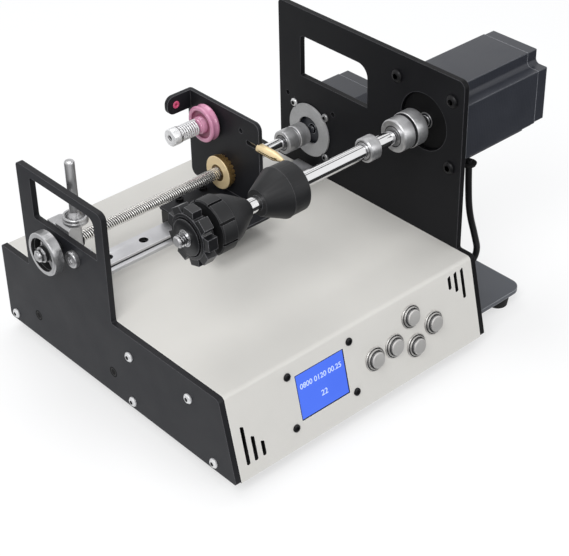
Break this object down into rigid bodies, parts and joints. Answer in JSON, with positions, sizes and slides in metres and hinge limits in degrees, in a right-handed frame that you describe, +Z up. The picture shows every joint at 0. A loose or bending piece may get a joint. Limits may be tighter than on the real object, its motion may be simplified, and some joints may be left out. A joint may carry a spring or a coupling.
{
  "type": "wire coil winding machine",
  "caption": "Bench wire coil winder with a motor-driven spindle and cone clamps, a lead screw traverse with wire guide and tensioner, and a sloping control panel.",
  "frame": {"origin": "centre of the machine's bounding box, on the table under the feet", "axes": "+X along the spindle and the lead screw towards the motors, -Y towards the operator and the sloping panel, +Z up"},
  "size_m": [0.3116, 0.2386, 0.186],
  "materials": {
    "plate_black": "powder coat",
    "case_white": "powder coat",
    "motor_black": "satin",
    "bright_steel": "bright",
    "dark_steel": "black oxide",
    "chromed": "polished",
    "satin_aluminium": "satin",
    "brass": "machined",
    "rubber": "matte",
    "black_plastic": "matte",
    "grey_plastic": "matte",
    "button_grey": "satin",
    "pink_ceramic": "gloss",
    "display": "lit",
    "board_green": "satin",
    "cable_black": "satin"
  },
  "bodies": {
    "machine_frame": {"left_side_plate": "plate_black", "right_side_plate": "plate_black", "case_cover": "case_white", "bottom_plate": "case_white", "side_plate_screws": "bright_steel", "black_screws": "dark_steel", "outrigger_bracket": "plate_black", "rubber_feet": "rubber", "spindle_motor_stack": "motor_black", "spindle_motor_ends": "motor_black", "traverse_motor_body": "motor_black", "traverse_motor_cap": "motor_black", "motor_screws": "bright_steel", "screw_hole_ring": "grey_plastic", "bearing_block": "satin_aluminium", "screw_bearing": "dark_steel", "block_bolts": "bright_steel", "spool_post": "bright_steel", "linear_rail": "bright_steel", "display_screen": "display", "button_bezels": "button_grey", "button_nuts": "button_grey", "power_inlet": "black_plastic", "switch_housing": "black_plastic", "circuit_boards": "board_green", "board_spacers": "brass", "cable_grommets": "rubber", "motor_cable": "cable_black"},
    "spindle": {"spindle_shaft": "chromed", "stop_collar": "satin_aluminium", "coupler_spindle_half": "satin_aluminium", "coupler_motor_half": "satin_aluminium", "motor_shaft": "bright_steel"},
    "stop_cone": {"stop_cone": "black_plastic"},
    "clamp_cone": {"clamp_cone": "black_plastic"},
    "clamp_nut": {"star_nut": "black_plastic", "star_nut_bush": "bright_steel"},
    "lead_screw": {"lead_screw": "bright_steel", "handwheel": "bright_steel", "screw_coupler_left": "satin_aluminium", "screw_coupler_right": "satin_aluminium", "traverse_motor_shaft": "bright_steel"},
    "carriage": {"slide_block": "bright_steel", "slide_block_caps": "black_plastic", "carriage_bracket": "plate_black", "carriage_screws": "dark_steel", "eyelet": "pink_ceramic", "lead_nut": "brass", "wire_guide": "brass", "tension_stud": "bright_steel", "tension_spring": "bright_steel"},
    "tension_wheel": {"tension_wheel": "pink_ceramic"},
    "tension_seat": {"tension_washer": "bright_steel"},
    "tension_nut": {"tension_nut": "bright_steel"},
    "rocker": {"switch_rocker": "black_plastic"},
    "button_cap_1": {"button_1": "button_grey"},
    "button_cap_2": {"button_2": "button_grey"},
    "button_cap_3": {"button_3": "button_grey"},
    "button_cap_4": {"button_4": "button_grey"},
    "button_cap_5": {"button_5": "button_grey"}
  },
  "joints": [
    {"name": "spindle_spin", "type": "hinge", "parent": "machine_frame", "child": "spindle", "pos_m": [0, -0.06076, 0.1468], "axis": [1, 0, 0], "continuous": true},
    {"name": "stop_cone_slide", "type": "slide", "parent": "spindle", "child": "stop_cone", "axis": [1, 0, 0], "range_m": [-0.004, 0.055]},
    {"name": "clamp_cone_slide", "type": "slide", "parent": "spindle", "child": "clamp_cone", "axis": [1, 0, 0], "range_m": [-0.0075, 0]},
    {"name": "clamp_nut_turn", "type": "hinge", "parent": "clamp_cone", "child": "clamp_nut", "pos_m": [-0.1092, -0.06076, 0.1468], "axis": [1, 0, 0], "range_deg": [-2165, 5]},
    {"name": "lead_screw_turn", "type": "hinge", "parent": "machine_frame", "child": "lead_screw", "pos_m": [0, 0.04474, 0.098], "axis": [1, 0, 0], "range_deg": [-905, 3605]},
    {"name": "carriage_slide", "type": "slide", "parent": "machine_frame", "child": "carriage", "axis": [1, 0, 0], "range_m": [-0.08, 0.02]},
    {"name": "tension_wheel_spin", "type": "hinge", "parent": "carriage", "child": "tension_wheel", "pos_m": [-0.0107, 0.05724, 0.13], "axis": [1, 0, 0], "continuous": true},
    {"name": "tension_seat_slide", "type": "slide", "parent": "carriage", "child": "tension_seat", "axis": [1, 0, 0], "range_m": [-0.0014, 0.0028], "deforming": ["tension_spring"]},
    {"name": "tension_nut_turn", "type": "hinge", "parent": "tension_seat", "child": "tension_nut", "pos_m": [-0.0362, 0.05724, 0.13], "axis": [1, 0, 0], "range_deg": [-725, 1445]},
    {"name": "switch_rock", "type": "hinge", "parent": "machine_frame", "child": "rocker", "pos_m": [-0.0632, 0.11424, 0.038], "axis": [1, 0, 0], "range_deg": [-16, 0]},
    {"name": "button_1_press", "type": "slide", "parent": "machine_frame", "child": "button_cap_1", "axis": [0, 0.975, -0.2224], "range_m": [0, 0.002], "stiffness_N_per_m": 400, "springref_m": -0.002},
    {"name": "button_2_press", "type": "slide", "parent": "machine_frame", "child": "button_cap_2", "axis": [0, 0.975, -0.2224], "range_m": [0, 0.002], "stiffness_N_per_m": 400, "springref_m": -0.002},
    {"name": "button_3_press", "type": "slide", "parent": "machine_frame", "child": "button_cap_3", "axis": [0, 0.975, -0.2224], "range_m": [0, 0.002], "stiffness_N_per_m": 400, "springref_m": -0.002},
    {"name": "button_4_press", "type": "slide", "parent": "machine_frame", "child": "button_cap_4", "axis": [0, 0.975, -0.2224], "range_m": [0, 0.002], "stiffness_N_per_m": 400, "springref_m": -0.002},
    {"name": "button_5_press", "type": "slide", "parent": "machine_frame", "child": "button_cap_5", "axis": [0, 0.975, -0.2224], "range_m": [0, 0.002], "stiffness_N_per_m": 400, "springref_m": -0.002}
  ],
  "couplings": [
    {"joint": "clamp_nut_turn", "follows": "clamp_cone_slide", "rad_per_m": 5026.5},
    {"joint": "lead_screw_turn", "follows": "carriage_slide", "rad_per_m": -785.4},
    {"joint": "tension_nut_turn", "follows": "tension_seat_slide", "rad_per_m": 8976}
  ]
}
